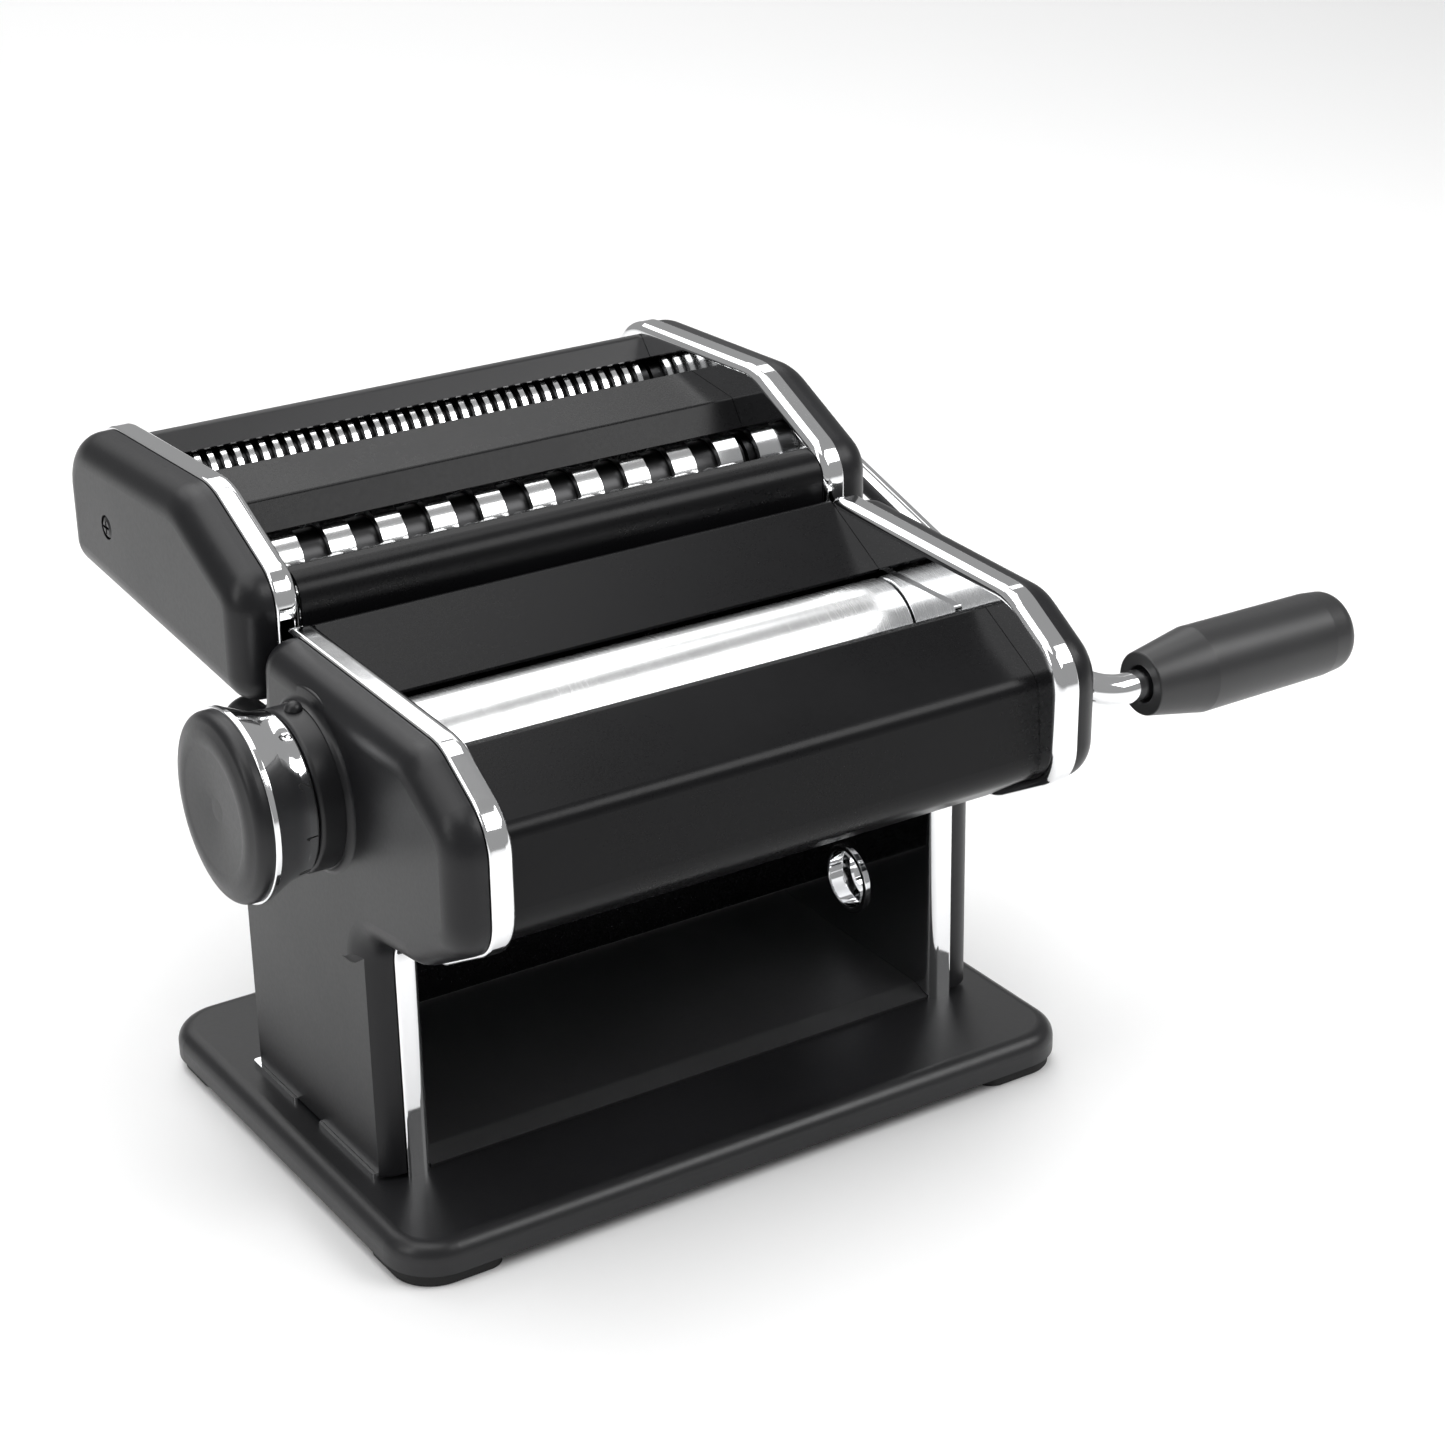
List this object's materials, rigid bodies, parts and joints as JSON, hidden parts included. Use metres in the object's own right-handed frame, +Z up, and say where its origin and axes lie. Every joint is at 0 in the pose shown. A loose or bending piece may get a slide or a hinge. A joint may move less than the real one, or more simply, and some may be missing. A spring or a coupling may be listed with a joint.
{
  "type": "pasta roller machine",
  "caption": "Hand-cranked table-top pasta machine with sheet rollers, a thickness knob, a lift-off cutter head with wide and narrow noodle cutters, and a removable crank.",
  "frame": {"origin": "bottom centre of the whole part's bounding box, crank included, on the surface it stands on; the middle of the base is 37.0 mm towards -X and 14.5 mm towards -Y", "axes": "+X along every roller's axis to the crank side, -Y to the front cover, +Z up"},
  "size_m": [0.3107, 0.2129, 0.1694],
  "materials": {
    "black_paint": "satin black powder paint",
    "black_cover": "satin black paint",
    "chrome": "polished chromed steel",
    "black_plastic": "satin black plastic",
    "grip": "fine turned satin black plastic",
    "rubber": "matt black rubber",
    "rollers": "smooth anodised aluminium",
    "steel": "plain zinc-plated steel",
    "comb_plastic": "black plastic"
  },
  "bodies": {
    "machine": {"base_plate": "black_paint", "foot_front_left": "rubber", "foot_front_right": "rubber", "foot_rear_left": "rubber", "foot_rear_right": "rubber", "side_plate_left": "chrome", "side_plate_right": "chrome", "side_cover_left": "black_cover", "side_cover_right": "black_cover", "front_cover": "black_paint", "rear_panel": "black_paint", "dough_tray": "black_paint", "front_scraper": "steel", "rear_scraper": "steel", "end_guide_left": "chrome", "end_guide_right": "chrome", "tie_rods": "steel", "tie_rod_nuts": "steel", "roller_bushes": "steel", "hook_studs": "steel", "clamp_bush": "chrome", "dial_base": "black_plastic", "dial_pointer": "black_plastic"},
    "front_roller": {"front_roller": "rollers", "front_roller_gear": "steel"},
    "gap_carriage": {"gap_block_left": "steel", "gap_block_right": "steel"},
    "rear_roller": {"rear_roller": "rollers", "rear_roller_gear": "steel"},
    "gap_spindle": {"gap_spindle": "steel"},
    "gap_knob": {"dial_drum": "chrome", "knob_cap": "black_plastic"},
    "cutter_head": {"cutter_plate_left": "chrome", "cutter_plate_right": "chrome", "cutter_cover_left": "black_cover", "cutter_cover_right": "black_cover", "cutter_rear_wall": "black_paint", "cutter_divider": "black_paint", "cutter_nose": "black_paint", "cutter_tie_rods": "steel", "cutter_tie_nuts": "steel", "cutter_hook_left": "steel", "cutter_hook_right": "steel", "cutter_cover_screws": "black_paint", "wide_comb_rear": "comb_plastic", "wide_comb_front": "comb_plastic", "narrow_comb_rear": "comb_plastic", "narrow_comb_front": "comb_plastic"},
    "wide_cutter_rear": {"wide_cutter_rear": "rollers", "wide_gear_rear": "steel"},
    "wide_cutter_front": {"wide_cutter_front": "rollers", "wide_gear_front": "steel"},
    "narrow_cutter_rear": {"narrow_cutter_rear": "rollers", "narrow_gear_rear": "steel"},
    "narrow_cutter_front": {"narrow_cutter_front": "rollers", "narrow_gear_front": "steel"},
    "crank": {"crank_rod": "chrome"},
    "grip": {"crank_grip": "grip", "grip_end_cap": "grip"}
  },
  "joints": [
    {"name": "front_roller_spin", "type": "hinge", "parent": "machine", "child": "front_roller", "pos_m": [-0.037, -0.06693, 0.1143], "axis": [1, 0, 0], "continuous": true},
    {"name": "gap_knob_turn", "type": "hinge", "parent": "machine", "child": "gap_spindle", "pos_m": [-0.037, -0.035, 0.1143], "axis": [1, 0, 0], "range_deg": [-144, 180]},
    {"name": "gap_knob_pull", "type": "slide", "parent": "gap_spindle", "child": "gap_knob", "axis": [-1, 0, 0], "range_m": [0, 0.0035], "stiffness_N_per_m": 400, "springref_m": -0.003},
    {"name": "gap_slide", "type": "slide", "parent": "machine", "child": "gap_carriage", "axis": [0, 1, 0], "range_m": [-0.00233, 0.00187]},
    {"name": "rear_roller_spin", "type": "hinge", "parent": "gap_carriage", "child": "rear_roller", "pos_m": [-0.037, -0.035, 0.1143], "axis": [1, 0, 0], "continuous": true},
    {"name": "cutter_head_lift", "type": "slide", "parent": "machine", "child": "cutter_head", "axis": [0, 0, 1], "range_m": [0, 0.06]},
    {"name": "wide_cutter_rear_spin", "type": "hinge", "parent": "cutter_head", "child": "wide_cutter_rear", "pos_m": [-0.037, 0.0415, 0.1396], "axis": [1, 0, 0], "continuous": true},
    {"name": "wide_cutter_front_spin", "type": "hinge", "parent": "cutter_head", "child": "wide_cutter_front", "pos_m": [-0.037, 0.0229, 0.13571], "axis": [1, 0, 0], "continuous": true},
    {"name": "narrow_cutter_rear_spin", "type": "hinge", "parent": "cutter_head", "child": "narrow_cutter_rear", "pos_m": [-0.037, 0.0909, 0.149], "axis": [1, 0, 0], "continuous": true},
    {"name": "narrow_cutter_front_spin", "type": "hinge", "parent": "cutter_head", "child": "narrow_cutter_front", "pos_m": [-0.037, 0.0723, 0.14511], "axis": [1, 0, 0], "continuous": true},
    {"name": "crank_pull_out", "type": "slide", "parent": "wide_cutter_rear", "child": "crank", "axis": [1, 0, 0], "range_m": [0, 0.03]},
    {"name": "grip_spin", "type": "hinge", "parent": "crank", "child": "grip", "pos_m": [-0.037, -0.08062, 0.10296], "axis": [1, 0, 0], "continuous": true}
  ],
  "couplings": [
    {"joint": "rear_roller_spin", "follows": "front_roller_spin", "ratio": -1},
    {"joint": "wide_cutter_front_spin", "follows": "wide_cutter_rear_spin", "ratio": -1},
    {"joint": "narrow_cutter_front_spin", "follows": "narrow_cutter_rear_spin", "ratio": -1},
    {"joint": "gap_slide", "follows": "gap_knob_turn", "m_per_rad": -0.00074278}
  ]
}
